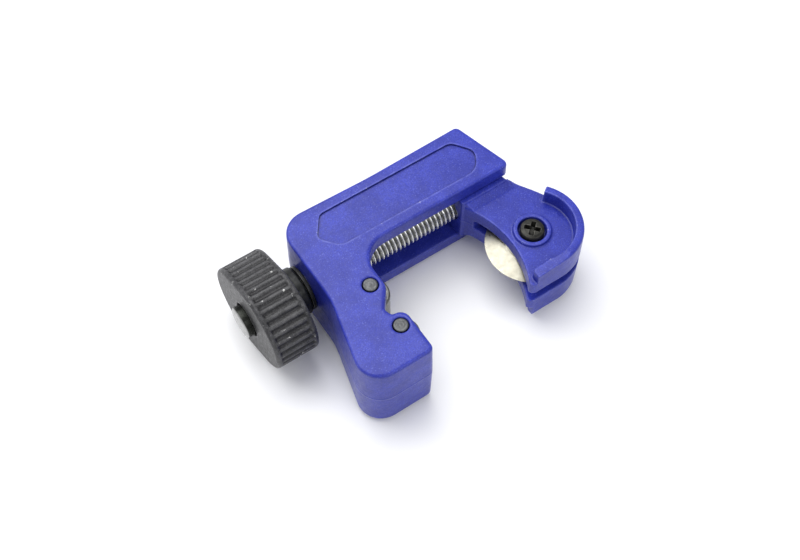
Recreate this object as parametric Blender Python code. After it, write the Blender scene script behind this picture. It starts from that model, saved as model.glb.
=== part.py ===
"""Miniature screw-feed pipe cutter, 3 to 22 mm, as separate working pieces.

The tool lies on its side: +X runs along the feed screw from the knob to the cutter, +Y from the
jaw opening to the rail, +Z up. The pipe stands along Z. Every length below is in millimetres, and
is measured from the point midway between the two rollers, at the height of the frame's underside.
One empty then carries all the pieces, so that the object's own origin lies on the underside of the
frame, straight below the feed screw.
"""
from math import atan2, cos, pi, radians, sin, tan

import bmesh
import bpy
from mathutils import Matrix, Vector

MM = 0.001

# Driving dimensions
FRAME_THICKNESS = 18.6
PLATE = 3.3                     # thickness of the frame's two cheeks
ROLLER_PITCH = 10.2             # between the two roller pins
ROLLER_RADIUS = 3.7
PIN_RADIUS = 1.42
WHEEL_X = 34.3                  # cutter wheel's centre with the jaw fully open
WHEEL_RADIUS = 9.0
SCREW_Y = 16.4                  # feed screw's axis
SCREW_RADIUS = 3.0              # M6
SCREW_PITCH = 1.0
THREAD_ROOT = 2.45
PEEN_RADIUS = 3.3
KNOB_LENGTH = 24.4              # the knob is an oblong with fully round ends
KNOB_WIDTH = 18.6
KNOB_TURN = radians(156.5)      # how its long axis stands at rest, from +Y towards +Z
FIT = 0.09                      # radial clearance of running and pressed fits
GAP = 0.3                       # gap kept between pieces that touch

# Worked out from them
MID_Z = FRAME_THICKNESS / 2
CHANNEL_LOW = PLATE
CHANNEL_HIGH = FRAME_THICKNESS - PLATE
JOURNAL_RADIUS = SCREW_RADIUS - 0.05
JOURNAL_BORE = JOURNAL_RADIUS + FIT

# Frame outline
ARM_LEFT = -7.8
ARM_RIGHT = 2.45
ARM_END = -12.6
RAIL_FRONT = 12.9
RAIL_BACK = 26.4
RAIL_END = 38.2
RAIL_END_BACK = 34.6
BEARING_INNER = 1.5             # inner face of the block that carries the feed screw
CHANNEL_BACK = 23.4
POCKET_LEFT = -4.5
POCKET_HALF = 9.3

# Carriage
TONGUE_LEFT = 26.0
TONGUE_RIGHT = 36.9
TONGUE_RIGHT_BACK = 33.9        # its end slants like the rail's
TONGUE_FRONT = 11.8
SLIDE_GAP = 0.1
HEAD_CENTRE = (34.2, -0.6)
HEAD_RADIUS = 9.6
RIM_RADIUS = 7.9                # inner radius of the raised rim
RIM_TOP = FRAME_THICKNESS - 1.5
FACE_TOP = 13.8                 # sunk face round the wheel screw
SLOT = 2.9                      # gap between the two ears, for the wheel
SLOT_END = 9.8
JAW_ARC_CENTRE = (8.5, 1.0)
JAW_ARC_RADIUS = 21.0
BOSS_RADIUS = 3.75
BOSS_HEIGHT = 0.7

# Stations along the feed screw
SCREW_END = -22.8               # the peened end that stands out of the knob
KNOB_FACE = -21.1
KNOB_BACK = -11.9
KNOB_SEAT = KNOB_FACE + 0.9     # floor of the counterbore under the peened end
COLLAR = (KNOB_BACK + GAP, -9.1)
OUTER_WASHER = (-8.9, -8.1)
INNER_WASHER = (BEARING_INNER + GAP, 2.2)
RETAINER = (2.4, 3.2)
THREAD = (3.35, 34.6)

# Wheel screw
BUSH_RADIUS = 2.38
SHANK_RADIUS = 1.5
HEAD_DISC_RADIUS = 2.45
COUNTERBORE = (2.9, 13.0)       # radius and floor height

BLUE = (0.068, 0.066, 0.420)
BLACK = (0.035, 0.035, 0.038)
STEEL = (0.55, 0.55, 0.53)
DARK_STEEL = (0.22, 0.21, 0.19)


def clear_scene():
    for thing in list(bpy.data.objects):
        bpy.data.objects.remove(thing, do_unlink=True)


def material(name, colour, roughness, metallic):
    made = bpy.data.materials.new(name)
    made.use_nodes = True
    shader = made.node_tree.nodes["Principled BSDF"]
    shader.inputs["Base Color"].default_value = (*colour, 1.0)
    shader.inputs["Roughness"].default_value = roughness
    shader.inputs["Metallic"].default_value = metallic
    return made


def fillet(before, corner, after, radius, step):
    """Points of the arc that rounds one corner of an outline."""
    here = Vector(corner)
    u = (Vector(before) - here).normalized()
    v = (Vector(after) - here).normalized()
    half = u.angle(v) / 2
    reach = radius / tan(half)
    centre = here + (u + v).normalized() * radius / sin(half)
    first = here + u * reach - centre
    last = here + v * reach - centre
    start = atan2(first.y, first.x)
    turn = (atan2(last.y, last.x) - start + pi) % (2 * pi) - pi
    count = max(1, round(abs(turn) / step))
    return [
        (centre.x + radius * cos(start + turn * i / count),
         centre.y + radius * sin(start + turn * i / count))
        for i in range(count + 1)
    ]


def rounded(corners, step=radians(15)):
    """Outline through corners given as (x, y, radius)."""
    points = []
    for i, (x, y, radius) in enumerate(corners):
        before = corners[i - 1][:2]
        after = corners[(i + 1) % len(corners)][:2]
        points += fillet(before, (x, y), after, radius, step) if radius else [(x, y)]
    return points


def arc(centre, radius, start, end, count):
    """Points along an arc, with the angles in degrees."""
    angles = [radians(start + (end - start) * i / count) for i in range(count + 1)]
    return [(centre[0] + radius * cos(a), centre[1] + radius * sin(a)) for a in angles]


def finish_mesh(name, made):
    bmesh.ops.remove_doubles(made, verts=made.verts, dist=1e-6)
    bmesh.ops.recalc_face_normals(made, faces=made.faces)
    mesh = bpy.data.meshes.new(name)
    made.to_mesh(mesh)
    made.free()
    thing = bpy.data.objects.new(name, mesh)
    bpy.context.scene.collection.objects.link(thing)
    return thing


def skin(made, rings):
    """Joins rings of points into a closed body."""
    for lower, upper in zip(rings, rings[1:]):
        for k in range(len(lower)):
            made.faces.new((lower[k - 1], lower[k], upper[k], upper[k - 1]))
    made.faces.new(rings[0])
    made.faces.new(rings[-1])


def inset(outline, distance):
    """The outline moved inwards by a distance, corner by corner (the outline runs anticlockwise)."""
    moved = []
    for i, here in enumerate(outline):
        here = Vector(here)
        u = (here - Vector(outline[i - 1])).normalized()
        v = (Vector(outline[(i + 1) % len(outline)]) - here).normalized()
        normal = Vector((-u.y - v.y, u.x + v.x)).normalized()
        moved.append(here + normal * distance / max(0.4, normal.dot(Vector((-v.y, v.x)))))
    return moved


def prism(name, outline, low, high, edge=0.0):
    """A solid with the given XY outline between two heights, its rims rounded over if asked."""
    if edge:
        part = 0.29 * edge
        levels = [(low, edge), (low + part, part), (low + edge, 0), (high - edge, 0),
                  (high - part, part), (high, edge)]
    else:
        levels = [(low, 0), (high, 0)]
    made = bmesh.new()
    rings = []
    for height, distance in levels:
        points = inset(outline, distance) if distance else outline
        rings.append([made.verts.new((x * MM, y * MM, height * MM)) for x, y in points])
    skin(made, rings)
    return finish_mesh(name, made)


def turned(name, profile, sides, along="Z", at=(0, 0, 0), opening=0.0):
    """A turned piece: profile is a closed list of (radius, distance along the axis)."""
    made = bmesh.new()
    points = [made.verts.new((r * MM, 0, h * MM)) for r, h in profile]
    loop = [made.edges.new((points[i - 1], points[i])) for i in range(len(points))
            if not (profile[i - 1][0] == 0 and profile[i][0] == 0)]
    sweep = 2 * pi - opening
    first = made.faces.new(points) if opening else None
    bmesh.ops.spin(made, geom=[first] if opening else loop, cent=(0, 0, 0), axis=(0, 0, 1),
                   angle=sweep, steps=sides, use_merge=not opening)
    if along == "X":
        bmesh.ops.transform(made, matrix=Matrix.Rotation(pi / 2, 4, "Y"), verts=made.verts)
    thing = finish_mesh(name, made)
    thing.location = Vector(at) * MM
    return thing


def smooth_by_angle(thing, degrees=35):
    """Round sides shade smooth and real edges stay sharp."""
    made = bmesh.new()
    made.from_mesh(thing.data)
    for edge in made.edges:
        edge.smooth = len(edge.link_faces) == 2 and edge.calc_face_angle() < radians(degrees)
    for face in made.faces:
        face.smooth = True
    made.to_mesh(thing.data)
    made.free()


def boolean(thing, other, operation="DIFFERENCE"):
    made = thing.modifiers.new(operation.lower(), "BOOLEAN")
    made.operation = operation
    made.solver = "EXACT"
    made.object = other
    other.hide_render = True
    other.display_type = "WIRE"


def apply_modifiers(thing):
    """Replaces an object's mesh by what its modifiers make of it, and drops their cutters."""
    tools = [m.object for m in thing.modifiers if m.type == "BOOLEAN"]
    bpy.context.view_layer.update()
    graph = bpy.context.evaluated_depsgraph_get()
    mesh = bpy.data.meshes.new_from_object(thing.evaluated_get(graph))
    thing.modifiers.clear()
    thing.data = mesh
    for tool in tools:
        bpy.data.objects.remove(tool, do_unlink=True)


def bar(name, radius, start, end, along, at, sides=32):
    """A plain cylinder along Z or X, used to drill holes."""
    profile = [(0, start), (radius, start), (radius, end), (0, end)]
    return turned(name, profile, sides, along, at)


def tube(name, inner, outer, low, high, sides, along="Z", at=(0, 0, 0), chamfer=0.0):
    """A ring or sleeve, its outer edges chamfered if asked."""
    profile = [(inner, low), (outer - chamfer, low)]
    if chamfer:
        profile += [(outer, low + chamfer), (outer, high - chamfer)]
    profile += [(outer - chamfer, high), (inner, high)]
    return turned(name, profile, sides, along, at)


def frame_outline():
    lobe = 2.5
    return rounded([
        (ARM_RIGHT, ARM_END, 1.2),
        (ARM_RIGHT, -2.6, 2.0),
        (-0.1, -2.3, 0.75),
        (-0.6, -0.7, 0.35),
        (ARM_RIGHT, 3.4, lobe),
        (ARM_RIGHT, RAIL_FRONT, 5.6),
        (RAIL_END, RAIL_FRONT, 1.2),
        (RAIL_END_BACK, RAIL_BACK, 1.2),
        (13.0, RAIL_BACK - 0.5, 60.0),
        (ARM_LEFT, RAIL_BACK, 5.2),
        (ARM_LEFT, 6.5, 16.0),
        (-12.5, ARM_END, 4.8),
    ])


def make_frame():
    """The C-shaped casting: two cheeks joined by the back, the arm's end and the screw's block."""
    frame = prism("frame", frame_outline(), 0, FRAME_THICKNESS, edge=0.7)
    far = RAIL_END + 8
    hollow = rounded([
        (POCKET_LEFT, -POCKET_HALF, 1.5),
        (far, -POCKET_HALF, 0),
        (far, CHANNEL_BACK, 0),
        (BEARING_INNER, CHANNEL_BACK, 1.0),
        (BEARING_INNER, POCKET_HALF, 1.0),
        (POCKET_LEFT, POCKET_HALF, 1.5),
    ])
    boolean(frame, prism("hollow", hollow, CHANNEL_LOW, CHANNEL_HIGH))
    boolean(frame, bar("screw_bore", JOURNAL_BORE, -20, 5, "X", (0, SCREW_Y, MID_Z)))
    for sign in (-1, 1):
        place = (0, sign * ROLLER_PITCH / 2, 0)
        boolean(frame, bar("pin_hole", PIN_RADIUS + FIT, -1, FRAME_THICKNESS + 1, "Z", place))
    apply_modifiers(frame)
    smooth_by_angle(frame)
    frame.data.materials.append(material("blue_paint", BLUE, 0.42, 0.0))


def make_rollers():
    steel = material("roller_steel", STEEL, 0.34, 1.0)
    bright = material("pin_steel", STEEL, 0.28, 1.0)
    for name, sign in (("upper", 1), ("lower", -1)):
        place = (0, sign * ROLLER_PITCH / 2, 0)
        roller = tube(f"roller_{name}", PIN_RADIUS + FIT, ROLLER_RADIUS, CHANNEL_LOW + GAP,
                      CHANNEL_HIGH - GAP, 32, at=place, chamfer=0.4)
        smooth_by_angle(roller)
        roller.data.materials.append(steel)
        end = 0.3
        profile = [(0, end), (PIN_RADIUS - 0.25, end), (PIN_RADIUS, end + 0.25),
                   (PIN_RADIUS, FRAME_THICKNESS - 0.25), (PIN_RADIUS - 0.25, FRAME_THICKNESS),
                   (0, FRAME_THICKNESS)]
        pin = turned(f"roller_pin_{name}", profile, 24, at=place)
        smooth_by_angle(pin)
        pin.data.materials.append(bright)


def head_outline():
    """Outline of the carriage's head and neck, up to where it meets the tongue."""
    neck = TONGUE_FRONT + 0.6
    top = 32.9
    bottom = -28.0
    return (
        [(26.8, HEAD_CENTRE[1] - HEAD_RADIUS + 0.9), (27.7, HEAD_CENTRE[1] - HEAD_RADIUS)]
        + arc(HEAD_CENTRE, HEAD_RADIUS, -90, 42, 12)
        + [(39.9, 8.6), (38.4, 11.0), (37.9, neck)]
        + arc(JAW_ARC_CENTRE, JAW_ARC_RADIUS, top, bottom, 10)
    )


def face_outline():
    """Outline of the sunk face that the raised rim goes round."""
    left = 20.0
    right = 50.0
    below = -14.0
    return (
        [(left, 20.0), (left, below), (28.0, below)]
        + rounded([(28.0, below, 0), (28.0, -8.1, 0.8), (30.0, -8.1, 0)])[1:-1]
        + arc(HEAD_CENTRE, RIM_RADIUS, -105, 40, 12)
        + [(right, 11.0), (right, 20.0)]
    )


def make_carriage():
    """The forked slide: a tongue in the rail's channel, a neck and two ears round the wheel."""
    wheel = (WHEEL_X, 0, 0)
    carriage = prism("carriage", head_outline(), FRAME_THICKNESS - RIM_TOP, RIM_TOP, edge=0.6)
    boolean(carriage, prism("upper_face", face_outline(), FACE_TOP, FRAME_THICKNESS + 2))
    boolean(carriage, prism("lower_face", face_outline(), -2, FRAME_THICKNESS - FACE_TOP))
    tongue = rounded([
        (TONGUE_LEFT, TONGUE_FRONT, 0.5),
        (TONGUE_RIGHT, TONGUE_FRONT, 0.5),
        (TONGUE_RIGHT_BACK, CHANNEL_BACK - GAP, 0.5),
        (TONGUE_LEFT, CHANNEL_BACK - GAP, 1.2),
    ], radians(30))
    boolean(carriage, prism("tongue", tongue, CHANNEL_LOW + SLIDE_GAP, CHANNEL_HIGH - SLIDE_GAP),
            "UNION")
    for low in (FACE_TOP - 1, FRAME_THICKNESS - FACE_TOP - BOSS_HEIGHT):
        profile = [(0, low), (BOSS_RADIUS, low), (BOSS_RADIUS, low + 1 + BOSS_HEIGHT),
                   (0, low + 1 + BOSS_HEIGHT)]
        boolean(carriage, turned("boss", profile, 32, at=wheel), "UNION")
    slot = [(20, -16), (50, -16), (50, SLOT_END), (20, SLOT_END)]
    boolean(carriage, prism("wheel_slot", slot, MID_Z - SLOT / 2, MID_Z + SLOT / 2))
    boolean(carriage, bar("feed_bore", SCREW_RADIUS + FIT, 10, 50, "X", (0, SCREW_Y, MID_Z)))
    stepped = [(0, -1), (SHANK_RADIUS + FIT, -1), (SHANK_RADIUS + FIT, COUNTERBORE[1]),
               (COUNTERBORE[0], COUNTERBORE[1]), (COUNTERBORE[0], 20), (0, 20)]
    boolean(carriage, turned("wheel_screw_hole", stepped, 32, at=wheel))
    apply_modifiers(carriage)
    smooth_by_angle(carriage)
    carriage.data.materials.append(material("blue_paint_slide", BLUE, 0.42, 0.0))


def make_cutter_wheel():
    """Hardened disc with a bevelled edge and a raised hub."""
    half_hub = SLOT / 2 - 0.15
    half_web = 0.95                 # where the bevel starts, at the hub
    half_edge = 0.04
    hub = 5.0
    chamfer = 0.2
    bore = BUSH_RADIUS + FIT
    upper = [(WHEEL_RADIUS, half_edge), (hub, half_web), (hub, half_hub - chamfer),
             (hub - chamfer, half_hub), (bore, half_hub)]
    profile = [(radius, -height) for radius, height in reversed(upper)] + upper
    wheel = turned("cutter_wheel", profile, 48, at=(WHEEL_X, 0, MID_Z))
    smooth_by_angle(wheel, 12)
    wheel.data.materials.append(material("tool_steel", (0.72, 0.70, 0.62), 0.24, 1.0))
    bush = tube("wheel_bushing", SHANK_RADIUS + FIT, BUSH_RADIUS, -half_hub, half_hub, 24,
                at=(WHEEL_X, 0, MID_Z))
    smooth_by_angle(bush)
    bush.data.materials.append(material("bushing_bronze", (0.45, 0.30, 0.13), 0.4, 1.0))


def make_wheel_screw():
    """Cross-recess screw that carries the wheel between the ears."""
    seat = COUNTERBORE[1] + 0.15
    top = 15.0
    end = FRAME_THICKNESS - FACE_TOP - BOSS_HEIGHT
    rise = 0.45
    profile = [(0, end), (SHANK_RADIUS - 0.3, end), (SHANK_RADIUS, end + 0.3),
               (SHANK_RADIUS, seat), (HEAD_DISC_RADIUS, seat),
               (HEAD_DISC_RADIUS, top - rise), (HEAD_DISC_RADIUS * 0.8, top - 0.12), (0, top)]
    screw = turned("wheel_screw", profile, 24, at=(WHEEL_X, 0, 0))
    reach = 1.65
    half_width = 0.42
    recess = []
    for quarter in range(4):
        turn = Matrix.Rotation(radians(42 + 90 * quarter), 2)
        for x, y in ((half_width, -half_width), (reach, -half_width), (reach, half_width)):
            point = turn @ Vector((x, y))
            recess.append((WHEEL_X + point.x, point.y))
    boolean(screw, prism("cross", recess, top - 1.0, top + 1.0))
    apply_modifiers(screw)
    smooth_by_angle(screw)
    screw.data.materials.append(material("blackened_steel", DARK_STEEL, 0.45, 1.0))


def thread_radius(along, angle):
    """Radius of the thread's surface at a distance along it and an angle round it."""
    depth = SCREW_RADIUS - THREAD_ROOT
    fade = min(1.0, (along - THREAD[0]) / SCREW_PITCH, (THREAD[1] - along) / SCREW_PITCH)
    wave = 0.5 + 0.5 * cos(2 * pi * (along / SCREW_PITCH - angle / (2 * pi)))
    return THREAD_ROOT + depth * wave * max(0.0, fade)


def make_feed_screw():
    """Peened end, journal, retainer groove and M6 thread, all in one piece."""
    sides = 12
    rows_per_turn = 3
    seat = KNOB_SEAT - GAP
    groove = 2.3
    stations = [(SCREW_END, 1.0), (SCREW_END + 0.15, PEEN_RADIUS - 0.4),
                (SCREW_END + 0.5, PEEN_RADIUS), (seat, PEEN_RADIUS), (seat, JOURNAL_RADIUS),
                (RETAINER[0] - 0.1, JOURNAL_RADIUS), (RETAINER[0] - 0.1, groove),
                (RETAINER[1] + 0.1, groove), (RETAINER[1] + 0.1, THREAD_ROOT)]
    rows = int((THREAD[1] - THREAD[0]) / SCREW_PITCH * rows_per_turn)
    rings = [[(along, radius)] * sides for along, radius in stations]
    for row in range(rows + 1):
        along = THREAD[0] + row * (THREAD[1] - THREAD[0]) / rows
        rings.append([(along, thread_radius(along, 2 * pi * k / sides)) for k in range(sides)])
    made = bmesh.new()
    verts = []
    for ring in rings:
        verts.append([
            made.verts.new((along * MM, radius * cos(2 * pi * k / sides) * MM,
                            radius * sin(2 * pi * k / sides) * MM))
            for k, (along, radius) in enumerate(ring)
        ])
    skin(made, verts)
    screw = finish_mesh("feed_screw", made)
    screw.location = Vector((0, SCREW_Y, MID_Z)) * MM
    smooth_by_angle(screw)
    screw.data.materials.append(material("zinc_plate", (0.62, 0.61, 0.56), 0.3, 1.0))


def knob_outline(count):
    """Evenly spaced points round the oblong, each with the way its surface faces there."""
    radius = KNOB_WIDTH / 2
    straight = KNOB_LENGTH - KNOB_WIDTH
    half = pi * radius + straight
    outline = []
    for k in range(count):
        side = 1 if 2 * k < count else -1
        walked = 2 * half * k / count % half
        if walked < pi * radius:
            angle = walked / radius - pi / 2
            facing = Vector((cos(angle), sin(angle)))
            point = Vector((straight / 2, 0)) + facing * radius
        else:
            facing = Vector((0, 1))
            point = Vector((straight / 2 - (walked - pi * radius), radius))
        outline.append((side * point, side * facing))
    return outline


def make_knob():
    """Oblong fluted knob, counterbored in its end face for the peened end of the screw."""
    flutes = 40
    per_flute = 4
    depth = 0.4
    rim = 0.8                       # plain band between the face and the flutes
    run_out = 0.4
    edge = 0.7
    plan = [(KNOB_FACE, edge, 0), (KNOB_FACE + 0.3 * edge, 0.3 * edge, 0), (KNOB_FACE + edge, 0, 0),
            (KNOB_FACE + rim, 0, 0), (KNOB_FACE + rim + run_out, 0, depth),
            (KNOB_BACK - rim - run_out, 0, depth), (KNOB_BACK - rim, 0, 0),
            (KNOB_BACK - edge, 0, 0), (KNOB_BACK, edge, 0)]
    stand = Matrix.Rotation(KNOB_TURN, 2)
    made = bmesh.new()
    rings = []
    for along, shrink, groove in plan:
        ring = []
        for k, (point, facing) in enumerate(knob_outline(flutes * per_flute)):
            sunk = shrink + (groove if k % per_flute < 2 else 0.0)
            y, z = stand @ (point - facing * sunk)
            ring.append(made.verts.new((along * MM, y * MM, z * MM)))
        rings.append(ring)
    skin(made, rings)
    knob = finish_mesh("knob", made)
    place = (0, SCREW_Y, MID_Z)
    knob.location = Vector(place) * MM
    well = PEEN_RADIUS + 0.4
    boolean(knob, bar("counterbore", well, KNOB_FACE - 1, KNOB_SEAT, "X", place))
    boolean(knob, bar("knob_bore", JOURNAL_BORE, KNOB_FACE - 1, KNOB_BACK + 1, "X", place))
    apply_modifiers(knob)
    smooth_by_angle(knob)
    knob.data.materials.append(material("black_enamel", BLACK, 0.4, 0.1))


def make_thrust_stack():
    """Collar and washers that hold the feed screw lengthwise in the frame."""
    place = (0, SCREW_Y, MID_Z)
    collar = tube("knob_collar", JOURNAL_BORE, 5.05, *COLLAR, 32, "X", place, chamfer=0.3)
    outer = tube("outer_thrust_washer", JOURNAL_BORE, 4.7, *OUTER_WASHER, 32, "X", place,
                 chamfer=0.1)
    inner = tube("inner_thrust_washer", JOURNAL_BORE, 4.7, *INNER_WASHER, 32, "X", place)
    ring_radius = 4.2
    profile = [(2.3 + FIT, RETAINER[0]), (ring_radius, RETAINER[0]),
               (ring_radius, RETAINER[1]), (2.3 + FIT, RETAINER[1])]
    ring = turned("retaining_ring", profile, 20, "X", place, opening=radians(70))
    looks = (
        (collar, "collar_steel", DARK_STEEL, 0.4),
        (outer, "washer_steel", STEEL, 0.35),
        (inner, "inner_washer_steel", STEEL, 0.35),
        (ring, "spring_steel", DARK_STEEL, 0.35),
    )
    for thing, name, colour, roughness in looks:
        smooth_by_angle(thing)
        thing.data.materials.append(material(name, colour, roughness, 1.0))


def hang_on_origin():
    """Moves the whole cutter so that its origin is below the feed screw."""
    pieces = list(bpy.data.objects)
    origin = bpy.data.objects.new("cutter_origin", None)
    origin.location = (0, -SCREW_Y * MM, 0)
    bpy.context.scene.collection.objects.link(origin)
    for piece in pieces:
        piece.parent = origin


def main():
    clear_scene()
    make_frame()
    make_rollers()
    make_carriage()
    make_cutter_wheel()
    make_wheel_screw()
    make_feed_screw()
    make_knob()
    make_thrust_stack()
    hang_on_origin()


main()
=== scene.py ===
"""The looks of the pipe cutter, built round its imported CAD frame.

Pieces are shaped in millimetres, measured from the point midway between the two rollers at the
height of the frame's underside, and settle() puts them into the frame's metres.
"""
from math import atan2, cos, pi, radians, sin, sqrt, tan

import bmesh
import bpy
from mathutils import Matrix, Vector


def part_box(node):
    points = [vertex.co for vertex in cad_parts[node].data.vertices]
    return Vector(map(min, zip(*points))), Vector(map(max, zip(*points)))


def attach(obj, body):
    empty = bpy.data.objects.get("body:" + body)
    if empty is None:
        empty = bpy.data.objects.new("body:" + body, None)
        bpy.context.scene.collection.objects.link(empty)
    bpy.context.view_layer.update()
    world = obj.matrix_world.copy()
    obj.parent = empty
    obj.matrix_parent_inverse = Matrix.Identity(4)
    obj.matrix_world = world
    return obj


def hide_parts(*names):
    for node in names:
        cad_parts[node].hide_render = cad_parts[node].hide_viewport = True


MM = 0.001

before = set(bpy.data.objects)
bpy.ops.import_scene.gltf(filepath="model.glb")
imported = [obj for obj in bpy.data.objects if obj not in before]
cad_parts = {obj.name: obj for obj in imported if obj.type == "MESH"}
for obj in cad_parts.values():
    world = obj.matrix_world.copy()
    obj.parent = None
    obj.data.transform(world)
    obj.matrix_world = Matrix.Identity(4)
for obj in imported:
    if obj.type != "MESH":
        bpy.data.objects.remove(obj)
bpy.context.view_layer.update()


def low(node):
    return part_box(node)[0] / MM


def high(node):
    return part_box(node)[1] / MM


def middle(node):
    return (low(node) + high(node)) / 2


# Taken from the frame
PIPE_Y = (middle("roller_upper").y + middle("roller_lower").y) / 2
THICKNESS = high("frame").z
MID_Z = THICKNESS / 2
PIN_Y = (middle("roller_upper").y - middle("roller_lower").y) / 2
ROLLER_RADIUS = (high("roller_upper").x - low("roller_upper").x) / 2
PIN_RADIUS = (high("roller_pin_upper").x - low("roller_pin_upper").x) / 2
CHANNEL_LOW = low("roller_upper").z - 0.3
CHANNEL_HIGH = high("roller_upper").z + 0.3
SCREW_Y = -PIPE_Y
SCREW_RADIUS = 3.0              # M6
PEEN_RADIUS = (high("feed_screw").z - low("feed_screw").z) / 2
WHEEL_X = middle("cutter_wheel").x
WHEEL_RADIUS = (high("cutter_wheel").x - low("cutter_wheel").x) / 2
HALF_HUB = (high("cutter_wheel").z - low("cutter_wheel").z) / 2
KNOB_FACE = low("knob").x
KNOB_BACK = high("knob").x

# Frame outline
ARM_LEFT = -7.8
ARM_RIGHT = 2.45
ARM_END = -12.6
RAIL_FRONT = 12.9
RAIL_BACK = 26.4
RAIL_END = 38.2
RAIL_END_BACK = 34.6
BEARING_INNER = 1.5             # inner face of the block that carries the feed screw
BEARING_BORE = 3.2
CHANNEL_BACK = 23.4
POCKET_LEFT = -4.5              # the hollow behind the rollers
POCKET_HALF = 9.3
FRAME_EDGE = 0.6
DRAFT = 0.18                    # how far the walls bulge at the parting line

# Carriage
TONGUE_LEFT = low("carriage").x
TONGUE_RIGHT = 36.9
TONGUE_RIGHT_BACK = 33.9
TONGUE_FRONT = 11.8
HEAD_CENTRE = (34.2, -0.6)
HEAD_RADIUS = 9.6
RIM_RADIUS = 7.9
RIM_TOP = high("carriage").z
FACE_TOP = 13.8                 # the sunk face inside the rim
RIM_DROP = 0.95                 # how far the upper rim has run down at the jaw's tip
RIM_DROP_START = 36.0
RIM_DROP_END = 27.8
SLOT_WIDTH = 2.9                # between the two ears
SLOT_END = 9.8
JAW_ARC_CENTRE = (8.5, 1.0)
JAW_ARC_RADIUS = 21.0
BOSS_RADIUS = 3.75
BOSS_HEIGHT = 0.7
COUNTERBORE_RADIUS = 2.9
COUNTERBORE_FLOOR = 13.0
WHEEL_SCREW_HOLE = 1.62

# Feed screw and knob
SCREW_TIP = high("feed_screw").x
THREAD_PITCH = 1.0
THREAD_START = high("retaining_ring").x + 0.15
THREAD_DEPTH = 0.6
GROOVE_ROOT = 2.3               # under the retaining ring
KNOB_LENGTH = 24.4              # an oblong with fully round ends
KNOB_WIDTH = 18.6
KNOB_TURN = radians(156.5)      # how its long axis stands, from +Y towards +Z
KNOB_SEAT = KNOB_FACE + 0.9     # floor of the counterbore under the peened end
FLUTES = 40


# Mesh tools, all in millimetres

def fillet(before, corner, after, radius, step):
    """Points of the arc that rounds one corner of an outline."""
    here = Vector(corner)
    u = (Vector(before) - here).normalized()
    v = (Vector(after) - here).normalized()
    half = u.angle(v) / 2
    centre = here + (u + v).normalized() * radius / sin(half)
    first = here + u * radius / tan(half) - centre
    last = here + v * radius / tan(half) - centre
    start = atan2(first.y, first.x)
    turn = (atan2(last.y, last.x) - start + pi) % (2 * pi) - pi
    count = max(1, round(abs(turn) / step))
    return [
        (centre.x + radius * cos(start + turn * i / count),
         centre.y + radius * sin(start + turn * i / count))
        for i in range(count + 1)
    ]


def rounded(corners, step=radians(6)):
    """Outline through corners given as (x, y, radius)."""
    points = []
    for i, (x, y, radius) in enumerate(corners):
        before = corners[i - 1][:2]
        after = corners[(i + 1) % len(corners)][:2]
        points += fillet(before, (x, y), after, radius, step) if radius else [(x, y)]
    return points


def arc(centre, radius, start, end, count):
    """Points along an arc, with the angles in degrees."""
    angles = [radians(start + (end - start) * i / count) for i in range(count + 1)]
    return [(centre[0] + radius * cos(a), centre[1] + radius * sin(a)) for a in angles]


def inset(outline, distance):
    """The outline moved inwards by a distance (the outline runs anticlockwise)."""
    moved = []
    for i, here in enumerate(outline):
        here = Vector(here)
        u = (here - Vector(outline[i - 1])).normalized()
        v = (Vector(outline[(i + 1) % len(outline)]) - here).normalized()
        normal = Vector((-u.y - v.y, u.x + v.x)).normalized()
        moved.append(here + normal * distance / max(0.4, normal.dot(Vector((-v.y, v.x)))))
    return moved


def to_object(name, made):
    """Turns a bmesh into an object of the scene, with merged points and outward faces."""
    bmesh.ops.remove_doubles(made, verts=made.verts, dist=1e-4)
    bmesh.ops.recalc_face_normals(made, faces=made.faces)
    mesh = bpy.data.meshes.new(name)
    made.to_mesh(mesh)
    made.free()
    thing = bpy.data.objects.new(name, mesh)
    bpy.context.scene.collection.objects.link(thing)
    return thing


def loft(name, rings):
    """A closed solid through rings of points, with flat ends."""
    made = bmesh.new()
    verts = [[made.verts.new(point) for point in ring] for ring in rings]
    count = len(rings[0])
    for lower, upper in zip(verts, verts[1:]):
        for k in range(count):
            made.faces.new((lower[k - 1], lower[k], upper[k], upper[k - 1]))
    made.faces.new(verts[0])
    made.faces.new(verts[-1])
    return to_object(name, made)


def prism(name, outline, bottom, top, edge=0.0, bulge=0.0):
    """A solid with the given outline between two heights, with rounded rims and drafted walls."""
    steps = 4 if edge else 0
    levels = [(bottom, edge)]
    for i in range(1, steps + 1):
        a = i / steps * pi / 2
        levels.append((bottom + edge * (1 - cos(a)), edge * (1 - sin(a))))
    upper = [(bottom + top - z, d) for z, d in reversed(levels)]
    if bulge:
        levels.append(((bottom + top) / 2, -bulge))
    rings = []
    for z, distance in levels + upper:
        points = inset(outline, distance) if distance else outline
        rings.append([(x, y, z) for x, y in points])
    return loft(name, rings)


def turned(name, profile, sides, along="Z", at=(0, 0, 0)):
    """A turned solid or ring: profile is a closed list of (radius, distance along the axis)."""
    made = bmesh.new()
    points = [made.verts.new((r, 0, h)) for r, h in profile]
    edges = [made.edges.new((points[i - 1], points[i])) for i in range(len(points))
             if not (profile[i - 1][0] == 0 and profile[i][0] == 0)]
    bmesh.ops.spin(made, geom=edges, cent=(0, 0, 0), axis=(0, 0, 1), angle=2 * pi, steps=sides,
                   use_merge=True)
    if along == "X":
        bmesh.ops.transform(made, matrix=Matrix.Rotation(pi / 2, 4, "Y"), verts=made.verts)
    bmesh.ops.translate(made, vec=at, verts=made.verts)
    return to_object(name, made)


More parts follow.
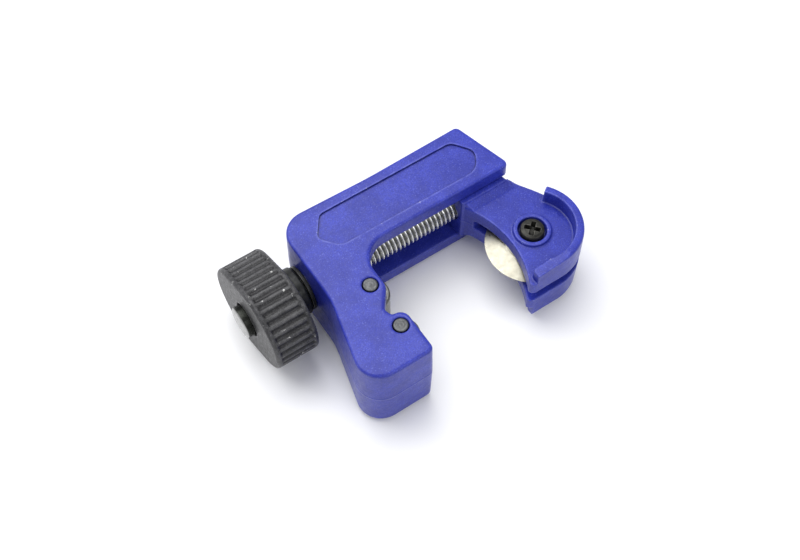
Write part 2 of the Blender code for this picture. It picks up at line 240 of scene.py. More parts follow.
def soften(profile, radius, steps=4):
    """Rounds every corner of a closed (radius, distance) profile that isn't on the axis."""
    corners = []
    for i, (r, h) in enumerate(profile):
        before = Vector(profile[i - 1])
        after = Vector(profile[(i + 1) % len(profile)])
        here = Vector((r, h))
        room = min((here - before).length, (after - here).length) * 0.45
        corners.append((r, h, 0 if r == 0 else min(radius, room)))
    points = []
    for i, (r, h, radius_here) in enumerate(corners):
        before = corners[i - 1][:2]
        after = corners[(i + 1) % len(corners)][:2]
        straight = abs((Vector((r, h)) - Vector(before)).angle(Vector(after) - Vector((r, h))))
        if radius_here < 0.01 or straight < 0.05:
            points.append((r, h))
            continue
        reach = tan(straight / 2)
        size = radius_here / max(1.0, reach)
        points += fillet(before, (r, h), after, size, straight / steps)
    return points


def apply_modifiers(thing):
    """Replaces a mesh by what its modifiers make of it, and drops their cutters."""
    tools = [m.object for m in thing.modifiers if m.type == "BOOLEAN"]
    bpy.context.view_layer.update()
    graph = bpy.context.evaluated_depsgraph_get()
    mesh = bpy.data.meshes.new_from_object(thing.evaluated_get(graph))
    thing.modifiers.clear()
    thing.data = mesh
    for tool in tools:
        bpy.data.objects.remove(tool, do_unlink=True)


def boolean(thing, other, operation="DIFFERENCE"):
    """Cuts another solid out of this one, or joins it, once the modifiers are applied."""
    made = thing.modifiers.new(operation.lower(), "BOOLEAN")
    made.operation = operation
    made.solver = "EXACT"
    made.object = other
    other.hide_render = True


def cast(thing, voxel, keep, passes=4):
    """Gives a solid the softened corners of a painted casting."""
    remesh = thing.modifiers.new("remesh", "REMESH")
    remesh.mode = "VOXEL"
    remesh.voxel_size = voxel
    smooth = thing.modifiers.new("smooth", "SMOOTH")
    smooth.factor = 0.5
    smooth.iterations = passes
    if keep < 1:
        thin = thing.modifiers.new("thin", "DECIMATE")
        thin.ratio = keep
    apply_modifiers(thing)


def shade(thing, degrees):
    """Round sides shade smooth and edges sharper than the angle stay sharp."""
    made = bmesh.new()
    made.from_mesh(thing.data)
    for edge in made.edges:
        edge.smooth = len(edge.link_faces) == 2 and edge.calc_face_angle() < radians(degrees)
    for face in made.faces:
        face.smooth = True
    made.to_mesh(thing.data)
    made.free()


def settle(thing, body, node, look, sharp=40):
    """Puts a finished piece into the frame's metres, on its body, in the place of its CAD node."""
    thing.data.transform(Matrix.Scale(MM, 4) @ Matrix.Translation((0, PIPE_Y, 0)))
    shade(thing, sharp)
    flatten = thing.modifiers.new("flatten", "WEIGHTED_NORMAL")
    flatten.keep_sharp = True
    apply_modifiers(thing)
    thing.data.materials.clear()
    thing.data.materials.append(look)
    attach(thing, body)
    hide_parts(node)


# Materials

class Look:
    """A Principled material with short calls for the nodes that feed it."""

    def __init__(self, name, metallic, roughness, specular=0.5):
        self.material = bpy.data.materials.new(name)
        self.material.use_nodes = True
        self.tree = self.material.node_tree
        self.shader = self.tree.nodes["Principled BSDF"]
        self.shader.inputs["Metallic"].default_value = metallic
        self.shader.inputs["Roughness"].default_value = roughness
        self.shader.inputs["Specular IOR Level"].default_value = specular
        self.millimetres = self.add("ShaderNodeMapping")
        self.millimetres.inputs["Scale"].default_value = (1 / MM,) * 3
        self.link(self.add("ShaderNodeTexCoord").outputs["Object"],
                  self.millimetres.inputs["Vector"])
        self.surface = None

    def add(self, kind):
        return self.tree.nodes.new(kind)

    def link(self, source, target):
        self.tree.links.new(source, target)

    def set(self, socket, value):
        """Feeds a socket from an output, or sets its plain value."""
        if isinstance(value, bpy.types.NodeSocket):
            self.link(value, socket)
        elif isinstance(value, tuple) and len(value) == 3 and len(socket.default_value) == 4:
            socket.default_value = (*value, 1.0)
        else:
            socket.default_value = value

    def noise(self, size, detail=2.0, roughness=0.5, stretch=(1, 1, 1)):
        """Noise with features about size millimetres across, between 0 and 1."""
        where = self.add("ShaderNodeMapping")
        where.inputs["Scale"].default_value = stretch
        self.link(self.millimetres.outputs["Vector"], where.inputs["Vector"])
        made = self.add("ShaderNodeTexNoise")
        made.inputs["Scale"].default_value = 1 / size
        made.inputs["Detail"].default_value = detail
        made.inputs["Roughness"].default_value = roughness
        self.link(where.outputs["Vector"], made.inputs["Vector"])
        return made.outputs["Fac"]

    def maths(self, operation, a, b=0.0):
        made = self.add("ShaderNodeMath")
        made.operation = operation
        self.set(made.inputs[0], a)
        self.set(made.inputs[1], b)
        return made.outputs[0]

    def span(self, value, from_low, from_high, to_low=0.0, to_high=1.0):
        """Maps a value from one range to another, held inside it."""
        made = self.add("ShaderNodeMapRange")
        self.set(made.inputs["Value"], value)
        made.inputs["From Min"].default_value = from_low
        made.inputs["From Max"].default_value = from_high
        made.inputs["To Min"].default_value = to_low
        made.inputs["To Max"].default_value = to_high
        return made.outputs["Result"]

    def blend(self, share, a, b):
        """Colour that goes from a to b as the share goes from 0 to 1."""
        made = self.add("ShaderNodeMix")
        made.data_type = "RGBA"
        self.set(made.inputs["Factor"], share)
        self.set(made.inputs[6], a)
        self.set(made.inputs[7], b)
        return made.outputs[2]

    def openness(self, reach, inside=False):
        """1 on open faces, less in inner corners, or on outer edges if seen from inside."""
        made = self.add("ShaderNodeAmbientOcclusion")
        made.samples = 6
        made.inside = inside
        made.only_local = True
        made.inputs["Distance"].default_value = reach * MM
        return made.outputs["AO"]

    def coordinate(self, axis):
        """Position along one axis in millimetres."""
        split = self.add("ShaderNodeSeparateXYZ")
        self.link(self.millimetres.outputs["Vector"], split.inputs["Vector"])
        return split.outputs[axis]

    def from_axis(self, at, axes):
        """Distance in millimetres from an axis line through a point, across the named axes."""
        squares = []
        for axis in axes:
            away = self.maths("SUBTRACT", self.coordinate(axis), at["XYZ".index(axis)])
            squares.append(self.maths("MULTIPLY", away, away))
        return self.maths("SQRT", self.maths("ADD", squares[0], squares[1]))

    def bump(self, height, depth):
        """Adds relief of a depth in millimetres."""
        made = self.add("ShaderNodeBump")
        made.inputs["Distance"].default_value = depth * MM
        self.link(height, made.inputs["Height"])
        if self.surface:
            self.link(self.surface, made.inputs["Normal"])
        self.surface = made.outputs["Normal"]

    def finish(self, colour, roughness=None, metallic=None):
        """Feeds the shader what varies over the surface, and gives the material."""
        self.set(self.shader.inputs["Base Color"], colour)
        if roughness is not None:
            self.set(self.shader.inputs["Roughness"], roughness)
        if metallic is not None:
            self.set(self.shader.inputs["Metallic"], metallic)
        if self.surface:
            self.link(self.surface, self.shader.inputs["Normal"])
        return self.material


def blue_paint():
    """Satin powder coat over a casting with a parting seam, its edges rubbed and chipped; painted
    shade darkens its inner corners.
    """
    look = Look("blue_paint", 0.0, 0.35, 0.38)
    mottled = look.blend(look.span(look.noise(4.0, 3), 0.35, 0.65),
                         (0.018, 0.028, 0.310), (0.031, 0.046, 0.430))
    grain = look.span(look.noise(0.3, 1), 0.35, 0.65, 0.0, 0.6)
    colour = look.blend(grain, mottled, (0.012, 0.018, 0.22))
    flake = look.span(look.noise(0.24, 1), 0.62, 0.74, 0.0, 0.45)
    colour = look.blend(flake, colour, (0.13, 0.16, 0.60))
    # painted shade: inner corners and creases darkened towards near-black blue
    painted_crease_shade = look.span(look.openness(0.9), 0.86, 0.5, 0.0, 0.85)
    colour = look.blend(painted_crease_shade, colour, (0.004, 0.004, 0.06))
    # lighter convex edges: partly rubbed paint, partly a painted highlight along the edges
    edge = look.openness(0.5, True)
    lighter_edge = look.maths("MULTIPLY", look.span(edge, 0.92, 0.6),
                        look.span(look.noise(1.6, 3), 0.35, 0.6, 0.1, 0.6))
    colour = look.blend(lighter_edge, colour, (0.15, 0.17, 0.58))
    chips = look.maths("MULTIPLY", look.span(edge, 0.80, 0.72),
                       look.span(look.noise(0.5, 2), 0.70, 0.72))
    colour = look.blend(chips, colour, (0.55, 0.55, 0.62))
    off_seam = look.maths("ABSOLUTE", look.maths("SUBTRACT", look.coordinate("Z"), MID_Z))
    look.bump(look.span(off_seam, 0.05, 0.35, 1.0, 0.0), 0.04)
    look.bump(look.noise(0.9, 2, 0.45), 0.035)
    look.bump(look.noise(0.3, 1), 0.014)
    roughness = look.span(look.noise(0.9, 2), 0.3, 0.7, 0.28, 0.40)
    return look.finish(colour, roughness)


def black_enamel():
    """Black paint over a zinc casting with a few bright chips; its grey edges are rubbed paint and
    partly a painted highlight, and its inner corners get painted shade.
    """
    look = Look("black_enamel", 0.0, 0.4, 0.33)
    base = look.blend(look.span(look.noise(2.0, 4), 0.3, 0.7),
                      (0.004, 0.004, 0.005), (0.020, 0.019, 0.022))
    grain = look.span(look.noise(0.25, 2), 0.45, 0.7, 0.0, 0.6)
    colour = look.blend(grain, base, (0.07, 0.07, 0.075))
    # painted shade: inner corners and hollows darkened towards black
    painted_crease_shade = look.span(look.openness(0.7), 0.9, 0.6, 0.0, 0.85)
    colour = look.blend(painted_crease_shade, colour, (0.004, 0.004, 0.004))
    # grey convex edges: partly rubbed paint, partly a painted highlight along the edges
    edge = look.openness(0.6, True)
    lighter_edge = look.maths("MULTIPLY", look.span(edge, 0.95, 0.65),
                        look.span(look.noise(1.1, 3), 0.35, 0.6, 0.3, 0.85))
    colour = look.blend(lighter_edge, colour, (0.27, 0.27, 0.28))
    chips = look.maths("MULTIPLY", look.span(edge, 0.88, 0.82),
                       look.span(look.noise(0.9, 2), 0.68, 0.70))
    colour = look.blend(chips, colour, (0.85, 0.85, 0.83))
    look.bump(look.noise(0.5, 3), 0.04)
    look.bump(look.noise(0.2, 1), 0.012)
    roughness = look.span(look.noise(0.7, 2), 0.3, 0.7, 0.32, 0.5)
    return look.finish(colour, roughness, chips)


def thread_steel():
    """Zinc plate with painted light on the thread: a painted highlight on the crests, painted shade
    in the valleys, and a dark flank on the wider peened end.
    """
    look = Look("zinc_plate", 1.0, 0.3)
    # painted light on the thread: painted shade in the valleys, painted highlight on the crests
    away = look.from_axis((0, 0, MID_Z), "YZ")
    depth = look.span(away, SCREW_RADIUS - THREAD_DEPTH, SCREW_RADIUS - 0.12)
    painted_valley_shade = look.blend(look.noise(1.2, 2), (0.09, 0.095, 0.085), (0.20, 0.205, 0.19))
    crest = look.blend(look.noise(0.8, 3), (0.70, 0.70, 0.68), (0.90, 0.90, 0.88))
    colour = look.blend(depth, painted_valley_shade, crest)
    along = look.coordinate("X")
    bare = look.blend(look.noise(0.9, 3), (0.24, 0.24, 0.24), (0.50, 0.50, 0.49))
    for start, end in ((KNOB_FACE, KNOB_FACE - 0.2), (SCREW_TIP - 0.08, SCREW_TIP - 0.02)):
        colour = look.blend(look.span(along, start, end), colour, bare)
    flank = look.span(away, PEEN_RADIUS - 0.12, PEEN_RADIUS - 0.04)
    colour = look.blend(flank, colour, (0.035, 0.037, 0.033))
    look.bump(look.noise(0.25, 2), 0.008)
    roughness = look.span(look.noise(0.5, 2), 0.3, 0.7, 0.22, 0.4)
    return look.finish(colour, roughness)


def turned_steel(name, at, axes, dark, light, ring=0.22, roughness=(0.24, 0.4), relief=0.006):
    """Steel with the fine rings that turning leaves about an axis, and slight staining."""
    look = Look(name, 1.0, 0.3)
    away = look.from_axis(at, axes)
    rings = look.maths("SINE", look.maths("MULTIPLY", away, 2 * pi / ring))
    colour = look.blend(look.span(look.noise(0.8, 4, 0.6), 0.3, 0.7), dark, light)
    look.bump(rings, relief)
    look.bump(look.noise(0.22, 3), 0.008)
    worn = look.span(look.noise(0.5, 3), 0.3, 0.7, *roughness)
    return look.finish(colour, worn)


def wheel_steel():
    """Ground tool steel with marks running round the wheel and a little warm staining."""
    look = Look("tool_steel", 1.0, 0.25)
    away = look.from_axis((WHEEL_X, PIPE_Y, MID_Z), "XY")
    rings = look.maths("SINE", look.maths("MULTIPLY", away, 2 * pi / 0.13))
    uneven = look.maths("MULTIPLY", rings, look.noise(0.7, 2))
    colour = look.blend(look.span(look.noise(1.8, 4, 0.6), 0.35, 0.7),
                        (0.31, 0.295, 0.24), (0.39, 0.375, 0.31))
    spots = look.span(look.noise(0.5, 3), 0.72, 0.78, 0.0, 0.5)
    colour = look.blend(spots, colour, (0.40, 0.34, 0.24))
    look.bump(uneven, 0.003)
    roughness = look.span(look.noise(0.6, 3), 0.3, 0.7, 0.26, 0.42)
    return look.finish(colour, roughness)


def blackened_steel(name, dark=(0.012, 0.012, 0.011), light=(0.045, 0.044, 0.038)):
    """Oil-blackened steel, a little lighter where it is rubbed, with painted shade in its recesses.
    """
    look = Look(name, 0.6, 0.4, 0.4)
    colour = look.blend(look.span(look.noise(0.9, 3), 0.3, 0.7), dark, light)
    lighter_edge = look.span(look.openness(0.3, True), 0.85, 0.6, 0.0, 0.6)
    colour = look.blend(lighter_edge, colour, (0.22, 0.21, 0.19))
    # painted shade: recesses such as the cross recess darkened to near black
    painted_crease_shade = look.span(look.openness(0.6), 0.85, 0.5, 0.0, 0.85)
    colour = look.blend(painted_crease_shade, colour, (0.002, 0.002, 0.002))
    look.bump(look.noise(0.3, 3), 0.02)
    roughness = look.span(look.noise(0.5, 2), 0.3, 0.7, 0.34, 0.52)
    return look.finish(colour, roughness)


def bronze():
    """Sintered bronze of the wheel's sleeve."""
    look = Look("bronze", 1.0, 0.35)
    colour = look.blend(look.noise(0.8, 3), (0.42, 0.27, 0.11), (0.58, 0.40, 0.19))
    look.bump(look.noise(0.3, 2), 0.01)
    return look.finish(colour, look.span(look.noise(0.4, 2), 0.3, 0.7, 0.3, 0.45))


# Pieces

def frame_outline():
    """Arm with a lobe round the upper pin, and a rail with a slanted end."""
    return rounded([
        (ARM_RIGHT, ARM_END, 1.2),
        (ARM_RIGHT, -2.6, 2.0),
        (-0.1, -2.3, 0.75),
        (-0.6, -0.7, 0.35),
        (ARM_RIGHT, 3.4, 2.5),
        (ARM_RIGHT, RAIL_FRONT, 5.6),
        (RAIL_END, RAIL_FRONT, 1.2),
        (RAIL_END_BACK, RAIL_BACK, 1.2),
        (13.0, RAIL_BACK - 0.5, 60.0),
        (ARM_LEFT, RAIL_BACK, 5.2),
        (ARM_LEFT, 6.5, 16.0),
        (-12.5, ARM_END, 4.8),
    ])


def sink_panels(body):
    """The shallow panel along the rail, on both cheeks, left plain."""
    panel = rounded([
        (0.2, 15.3, 3.0),
        (31.8, 15.3, 3.8),
        (34.2, 19.4, 2.5),
        (31.1, 23.7, 2.2),
        (0.4, 23.7, 1.8),
        (-2.9, 19.2, 1.5),
    ])
    depth = 0.4
    boolean(body, prism("panel_upper", panel, THICKNESS - depth, THICKNESS + 2))
    boolean(body, prism("panel_lower", panel, -2, depth))
    apply_modifiers(body)


def make_frame(paint):
    """The C-shaped casting."""
    body = prism("frame_casting", frame_outline(), 0, THICKNESS, FRAME_EDGE, DRAFT)
    far = RAIL_END + 8              # the hollow is open at the rail's end
    hollow = rounded([
        (POCKET_LEFT, -POCKET_HALF, 1.5),
        (far, -POCKET_HALF, 0),
        (far, CHANNEL_BACK, 0),
        (BEARING_INNER, CHANNEL_BACK, 1.0),
        (BEARING_INNER, POCKET_HALF, 1.0),
        (POCKET_LEFT, POCKET_HALF, 1.5),
    ])
    boolean(body, prism("hollow", hollow, CHANNEL_LOW, CHANNEL_HIGH))
    bore = [(0, -20), (BEARING_BORE, -20), (BEARING_BORE, 5), (0, 5)]
    boolean(body, turned("screw_bore", bore, 48, "X", (0, SCREW_Y, MID_Z)))
    hole = PIN_RADIUS + 0.2
    for sign in (-1, 1):
        drill = [(0, -1), (hole, -1), (hole, THICKNESS + 1), (0, THICKNESS + 1)]
        boolean(body, turned("pin_hole", drill, 48, at=(0, sign * PIN_Y, 0)))
    cast(body, 0.2, 0.3)
    sink_panels(body)
    settle(body, "frame", "frame", paint, 50)


def head_outline():
    """Outline of the carriage's head and neck."""
    neck = TONGUE_FRONT + 0.6
    lowest = HEAD_CENTRE[1] - HEAD_RADIUS
    return (
        [(26.8, lowest + 0.9), (27.1, lowest + 0.3), (27.7, lowest)]
        + arc(HEAD_CENTRE, HEAD_RADIUS, -90, 42, 40)
        + [(40.5, 7.4), (39.7, 8.7), (38.9, 10.0), (38.3, 11.2), (37.9, neck)]
        + arc(JAW_ARC_CENTRE, JAW_ARC_RADIUS, 32.9, -28.0, 40)
    )


def face_outline():
    """Outline of the sunk face inside the raised rim."""
    below = -14.0
    return (
        [(20.0, 20.0), (20.0, below), (28.0, below)]
        + rounded([(28.0, below, 0), (28.0, -8.1, 0.9), (30.0, -8.1, 0)])[1:-1]
        + arc(HEAD_CENTRE, RIM_RADIUS, -105, 40, 40)
        + [(50.0, 11.0), (50.0, 20.0)]
    )


def ramp(name, bottom, top):
    """The sloped step from the sunk face up to the tongue, starting at the neck's curved side."""
    section = [(TONGUE_FRONT - 2.0, bottom), (TONGUE_FRONT + 0.3, bottom),
               (TONGUE_FRONT + 0.3, top)]
    left = []
    for y, z in section:
        across = y - JAW_ARC_CENTRE[1]
        left.append((JAW_ARC_CENTRE[0] + sqrt(JAW_ARC_RADIUS ** 2 - across ** 2) + 0.15, y, z))
    right = [(TONGUE_RIGHT + 0.4, y, z) for y, z in section]
    return loft(name, [left, right])


def rim_slope():
    """Cutter that lets the upper rim run down towards the sunk face at the jaw's tip."""
    past_tip = 26.0
    floor = RIM_TOP - RIM_DROP
    section = [(past_tip, floor), (RIM_DROP_END, floor), (RIM_DROP_START, RIM_TOP + 0.02),
               (past_tip, RIM_TOP + 2)]
    return loft("rim_slope", [[(x, y, z) for x, z in section] for y in (-12.0, -4.0)])


def tongue(bottom, top):
    """The part of the slide that runs in the rail's channel."""
    back = CHANNEL_BACK - 0.3
    outline = rounded([
        (TONGUE_LEFT, TONGUE_FRONT, 0.5),
        (TONGUE_RIGHT, TONGUE_FRONT, 0.5),
        (TONGUE_RIGHT_BACK, back, 0.5),
        (TONGUE_LEFT, back, 1.2),
    ])
    return prism("tongue", outline, bottom, top)


def make_carriage(paint):
    """The forked slide: a tongue in the rail's channel, a neck and two ears round the wheel."""
    wheel = (WHEEL_X, 0, 0)
    lower = THICKNESS - FACE_TOP    # the lower side mirrors the upper
    body = prism("carriage_casting", head_outline(), THICKNESS - RIM_TOP, RIM_TOP, 0.5, 0.1)
    boolean(body, prism("upper_face", face_outline(), FACE_TOP, THICKNESS + 2))
    boolean(body, prism("lower_face", face_outline(), -2, lower))
    tongue_top = CHANNEL_HIGH - 0.1
    tongue_bottom = CHANNEL_LOW + 0.1
    boolean(body, tongue(tongue_bottom, tongue_top), "UNION")
    boolean(body, ramp("upper_ramp", FACE_TOP - 0.2, tongue_top - 0.05), "UNION")
    boolean(body, ramp("lower_ramp", lower + 0.2, tongue_bottom + 0.05), "UNION")
    boolean(body, rim_slope())
    for start in (FACE_TOP - 1, lower - BOSS_HEIGHT):
        end = start + 1 + BOSS_HEIGHT
        profile = [(0, start), (BOSS_RADIUS, start), (BOSS_RADIUS, end), (0, end)]
        boolean(body, turned("boss", profile, 64, at=wheel), "UNION")
    slot = [(20, -16), (50, -16), (50, SLOT_END), (20, SLOT_END)]
    boolean(body, prism("wheel_slot", slot, MID_Z - SLOT_WIDTH / 2, MID_Z + SLOT_WIDTH / 2))
    bore = [(0, 10), (SCREW_RADIUS + 0.12, 10), (SCREW_RADIUS + 0.12, 50), (0, 50)]
    boolean(body, turned("feed_bore", bore, 48, "X", (0, SCREW_Y, MID_Z)))
    stepped = [(0, -1), (WHEEL_SCREW_HOLE, -1), (WHEEL_SCREW_HOLE, COUNTERBORE_FLOOR),
               (COUNTERBORE_RADIUS, COUNTERBORE_FLOOR), (COUNTERBORE_RADIUS, 20), (0, 20)]
    boolean(body, turned("wheel_screw_hole", stepped, 64, at=wheel))
    cast(body, 0.15, 0.35)
    settle(body, "slide", "carriage", paint, 75)


def make_rollers():
    """The two pipe rollers and the pins on which they turn."""
    for name, sign in (("upper", 1), ("lower", -1)):
        place = (0, sign * PIN_Y, 0)
        axis = (0, PIPE_Y + sign * PIN_Y, 0)
        bottom, top = low("roller_upper").z, high("roller_upper").z
        bore = PIN_RADIUS + 0.09
        profile = [(bore, bottom), (ROLLER_RADIUS, bottom), (ROLLER_RADIUS, top), (bore, top)]
        roller = turned(f"roller_{name}_steel", soften(profile, 0.35), 64, at=place)
        look = turned_steel(f"roller_steel_{name}", axis, "XY", (0.09, 0.09, 0.088),
                            (0.18, 0.18, 0.175))
        settle(roller, f"roller_{name}", f"roller_{name}", look)
        node = f"roller_pin_{name}"
        bottom, top = low(node).z, high(node).z
        profile = [(0, bottom), (PIN_RADIUS, bottom), (PIN_RADIUS, top), (0, top)]
        pin = turned(f"{node}_steel", soften(profile, 0.2), 48, at=place)
        look = turned_steel(f"pin_steel_{name}", axis, "XY", (0.08, 0.082, 0.085),
                            (0.165, 0.168, 0.173), 0.5, (0.42, 0.6), 0.01)
        settle(pin, "frame", node, look)


def make_wheel():
    """Hardened disc with a long bevel and a chamfered hub, on its bronze sleeve."""
    hub = 5.0
    half_web = 0.95
    bore = 2.47
    sleeve_radius = 2.38
    sleeve_bore = 1.59
    half = [(bore, HALF_HUB), (hub - 0.3, HALF_HUB), (hub, HALF_HUB - 0.2), (hub, half_web + 0.05),
            (hub + 0.1, half_web), (WHEEL_RADIUS - 0.5, 0.16), (WHEEL_RADIUS, 0.03)]
    profile = [(r, -h) for r, h in half] + half[::-1]
    wheel = turned("cutter_wheel_steel", profile, 96, at=(WHEEL_X, 0, MID_Z))
    settle(wheel, "wheel", "cutter_wheel", wheel_steel(), 12)
    profile = [(sleeve_bore, -HALF_HUB), (sleeve_radius, -HALF_HUB),
               (sleeve_radius, HALF_HUB), (sleeve_bore, HALF_HUB)]
    sleeve = turned("wheel_bushing_bronze", soften(profile, 0.15), 48, at=(WHEEL_X, 0, MID_Z))
    settle(sleeve, "slide", "wheel_bushing", bronze())


def cross_cutter(top):
    """Tapered cross recess, as far round as the screw happens to stand."""
    stand = 42
    reach = 1.75
    width = 0.47
    depth = 1.3
    rings = []
    for z, scale in ((top - depth, 0.62), (top + 0.4, 1.06)):
        ring = []
        for quarter in range(4):
            turn = Matrix.Rotation(radians(stand + 90 * quarter), 2)
            for x, y in ((width, -width), (reach, -width), (reach, width)):
                point = turn @ Vector((x * scale, y * (0.5 + 0.5 * scale)))
                ring.append((WHEEL_X + point.x, point.y, z))
        rings.append(ring)
    return loft("cross", rings)


def make_wheel_screw(look):
    """Cross-recess pan-head screw."""
    bottom, top = low("wheel_screw").z, high("wheel_screw").z
    radius = (high("wheel_screw").x - low("wheel_screw").x) / 2
    seat = COUNTERBORE_FLOOR + 0.15
    profile = [(0, bottom), (1.2, bottom), (1.5, bottom + 0.3), (1.5, seat), (radius, seat),
               (radius, top - 0.55), (radius * 0.93, top - 0.25), (radius * 0.7, top - 0.07),
               (0, top)]
    screw = turned("wheel_screw_steel", profile, 64, at=(WHEEL_X, 0, 0))
    boolean(screw, cross_cutter(top))
    cast(screw, 0.07, 0.5, 3)
    settle(screw, "slide", "wheel_screw", look, 75)


def thread_radius(along, angle, end):
    """Radius of the thread's surface: flat crests, rounded valleys, right-handed."""
    fade = min(1.0, (along - THREAD_START) / THREAD_PITCH, (end - along) / THREAD_PITCH)
    wave = 0.5 + 0.5 * cos(2 * pi * (along / THREAD_PITCH - angle / (2 * pi)))
    crest = min(1.0, wave * 1.15)
    return SCREW_RADIUS - THREAD_DEPTH * (1 - crest * max(0.0, fade))


def make_feed_screw():
    """Peened end, plain journal, groove for the retainer and rolled thread."""
    sides = 40
    rows_per_turn = 12
    start, end = low("feed_screw").x, SCREW_TIP
    groove = (low("retaining_ring").x - 0.1, high("retaining_ring").x + 0.1)
    journal = SCREW_RADIUS - 0.05
    seat = KNOB_SEAT - 0.3
    stations = [(start, 0.8), (start + 0.05, 1.8), (start + 0.14, PEEN_RADIUS - 0.45),
                (start + 0.24, PEEN_RADIUS - 0.2), (start + 0.4, PEEN_RADIUS - 0.05),
                (start + 0.6, PEEN_RADIUS), (seat, PEEN_RADIUS), (seat, journal),
                (groove[0], journal), (groove[0] + 0.02, GROOVE_ROOT),
                (groove[1] - 0.02, GROOVE_ROOT), (groove[1], GROOVE_ROOT + 0.1)]
    rings = [[(along, radius)] * sides for along, radius in stations]
    rows = int((end - THREAD_START) / THREAD_PITCH * rows_per_turn)
    for row in range(rows + 1):
        along = THREAD_START + row * (end - THREAD_START) / rows
        rings.append([(along, thread_radius(along, 2 * pi * k / sides, end))
                      for k in range(sides)])
    points = [
        [(along, SCREW_Y + radius * cos(2 * pi * k / sides),
          MID_Z + radius * sin(2 * pi * k / sides)) for k, (along, radius) in enumerate(ring)]
        for ring in rings
    ]
    settle(loft("feed_screw_steel", points), "feed", "feed_screw", thread_steel(), 50)


def knob_outline(count):
    """Evenly spaced points round the oblong, each with the way its surface faces there."""
    radius = KNOB_WIDTH / 2
    straight = KNOB_LENGTH - KNOB_WIDTH
    half = pi * radius + straight
    outline = []
    for k in range(count):
        side = 1 if 2 * k < count else -1
        walked = 2 * half * k / count % half
        if walked < pi * radius:
            angle = walked / radius - pi / 2
            facing = Vector((cos(angle), sin(angle)))
            point = Vector((straight / 2, 0)) + facing * radius
        else:
            facing = Vector((0, 1))
            point = Vector((straight / 2 - (walked - pi * radius), radius))
        outline.append((side * point, side * facing))
    return outline


def make_knob():
    """Cast knob: narrow round-bottomed flutes between two rims, counterbored in its end face."""
    per_flute = 8
    groove = (0, 0.55, 0.9, 1.0, 0.9, 0.55, 0, 0)
    depth = 0.42
    edge = 0.7
    rim = 0.8
    run_out = 0.5
    plan = []
    for i in range(5):
        a = i / 4 * pi / 2
        plan.append((edge * (1 - cos(a)), edge * (1 - sin(a)), 0))
    plan += [(rim, 0, 0), (rim + run_out, 0, depth)]
    back = [(KNOB_BACK - x, shrink, sunk) for x, shrink, sunk in reversed(plan)]
    plan = [(KNOB_FACE + x, shrink, sunk) for x, shrink, sunk in plan] + back
    stand = Matrix.Rotation(KNOB_TURN, 2)
    rings = []
    for along, shrink, sunk in plan:
        ring = []
        for k, (point, facing) in enumerate(knob_outline(FLUTES * per_flute)):
            y, z = stand @ (point - facing * (shrink + sunk * groove[k % per_flute]))
            ring.append((along, SCREW_Y + y, MID_Z + z))
        rings.append(ring)
    knob = loft("knob_casting", rings)
    axis = (0, SCREW_Y, MID_Z)
    well = PEEN_RADIUS + 0.4
    stepped = [(0, KNOB_FACE - 1), (well, KNOB_FACE - 1), (well, KNOB_SEAT), (3.1, KNOB_SEAT),
               (3.1, KNOB_BACK + 1), (0, KNOB_BACK + 1)]
    boolean(knob, turned("knob_bore", stepped, 48, "X", axis))
    cast(knob, 0.13, 0.45, 2)
    settle(knob, "feed", "knob", black_enamel(), 75)


def make_thrust_stack(dark):
    """Collar, washers and spring retainer on the feed screw's journal."""
    bore = SCREW_RADIUS + 0.04
    axis = (0, 0, MID_Z)
    washer = turned_steel("washer_steel", axis, "YZ", (0.34, 0.34, 0.32), (0.55, 0.55, 0.52))
    rows = (
        ("knob_collar", "feed", "dark_steel", dark, 0.45),
        ("outer_thrust_washer", "frame", "steel", dark, 0.2),
        ("inner_thrust_washer", "frame", "steel", washer, 0.1),
    )
    for node, body, slot, look, edge in rows:
        start, end = low(node).x, high(node).x
        radius = (high(node).z - low(node).z) / 2
        profile = [(bore, start), (radius, start), (radius, end), (bore, end)]
        ring = turned(f"{node}_turned", soften(profile, edge), 72, "X", (0, SCREW_Y, MID_Z))
        settle(ring, body, node, look)
    ring_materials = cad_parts["retaining_ring"].data.materials
    ring_materials.clear()
    ring_materials.append(dark)


# Surroundings

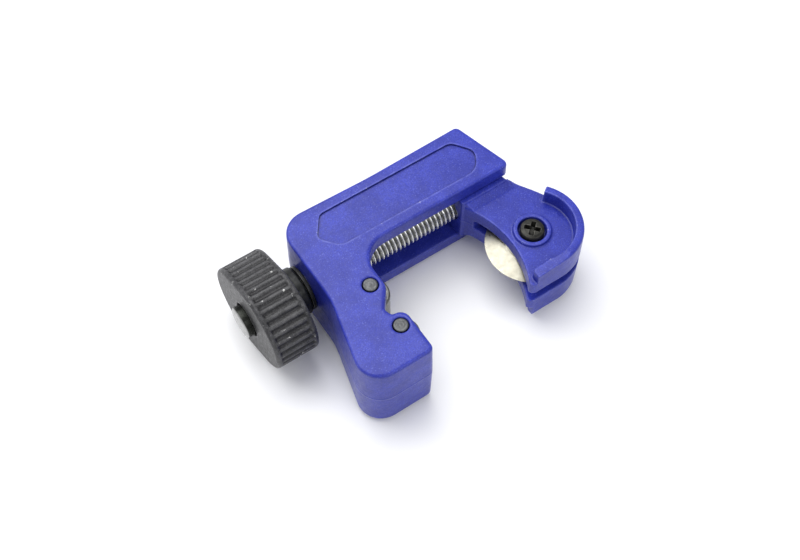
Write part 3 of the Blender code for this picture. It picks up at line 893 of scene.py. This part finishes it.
def make_floor():
    """Pale glossy table. The cutter leans on its knob, which is wider than the frame is thick."""
    contact = high("knob").x - 0.6
    far_edge = RAIL_END - FRAME_EDGE
    slope = atan2(-low("knob").z, far_edge - contact)
    half = 3000
    made = bmesh.new()
    corners = [made.verts.new((x, y, 0)) for x, y in
               ((-half, -half), (half, -half), (half, half), (-half, half))]
    made.faces.new(corners)
    turn = Matrix.Translation((far_edge, 0, 0)) @ Matrix.Rotation(-slope, 4, "Y")
    bmesh.ops.transform(made, matrix=Matrix.Scale(MM, 4) @ turn, verts=made.verts)
    floor = to_object("floor", made)
    look = Look("pale_table", 0.0, 0.3, 0.35)
    colour = look.blend(look.noise(60.0, 2), (0.90, 0.90, 0.91), (0.92, 0.92, 0.93))
    floor.data.materials.append(look.finish(colour))


def make_light(name, place, size, power):
    """A square soft light that faces the middle of the cutter."""
    aim = Vector((10, 0, 5)) * MM
    lamp = bpy.data.lights.new(name, "AREA")
    lamp.size = size * MM
    lamp.energy = power
    holder = bpy.data.objects.new(name, lamp)
    holder.location = Vector(place) * MM
    holder.rotation_euler = (aim - holder.location).to_track_quat("-Z", "Y").to_euler()
    bpy.context.scene.collection.objects.link(holder)


def make_camera():
    """Stands in front to the left, high over the cutter."""
    azimuth = radians(-33.85)
    elevation = radians(59.5)
    distance = 221.8
    target = Vector((5.12, 2.81 + PIPE_Y, THICKNESS))
    away = Vector((sin(azimuth) * cos(elevation), -cos(azimuth) * cos(elevation), sin(elevation)))
    data = bpy.data.cameras.new("camera")
    data.lens = 53.65
    data.sensor_width = 36.0
    data.clip_start = 0.01
    camera = bpy.data.objects.new("camera", data)
    camera.location = (target + away * distance) * MM
    camera.rotation_euler = (-away).to_track_quat("-Z", "Y").to_euler()
    bpy.context.scene.collection.objects.link(camera)
    bpy.context.scene.camera = camera


def make_studio():
    """A bright plain surround with a large softbox overhead and a weak light in front."""
    world = bpy.data.worlds.new("studio")
    world.use_nodes = True
    sky = world.node_tree.nodes["Background"]
    sky.inputs["Color"].default_value = (0.97, 0.98, 1.0, 1.0)
    sky.inputs["Strength"].default_value = 0.68
    bpy.context.scene.world = world
    make_light("softbox", (-40, 200, 430), 480, 2.2)
    make_light("front", (60, -350, 350), 240, 0.4)
    bpy.context.scene.view_settings.view_transform = "Standard"


def main():
    paint = blue_paint()
    dark = blackened_steel("blackened_steel")
    make_frame(paint)
    make_carriage(paint)
    make_rollers()
    make_wheel()
    make_wheel_screw(dark)
    make_feed_screw()
    make_knob()
    make_thrust_stack(blackened_steel("collar_steel", (0.008, 0.009, 0.010), (0.035, 0.036, 0.035)))
    make_floor()
    make_studio()
    make_camera()


main()
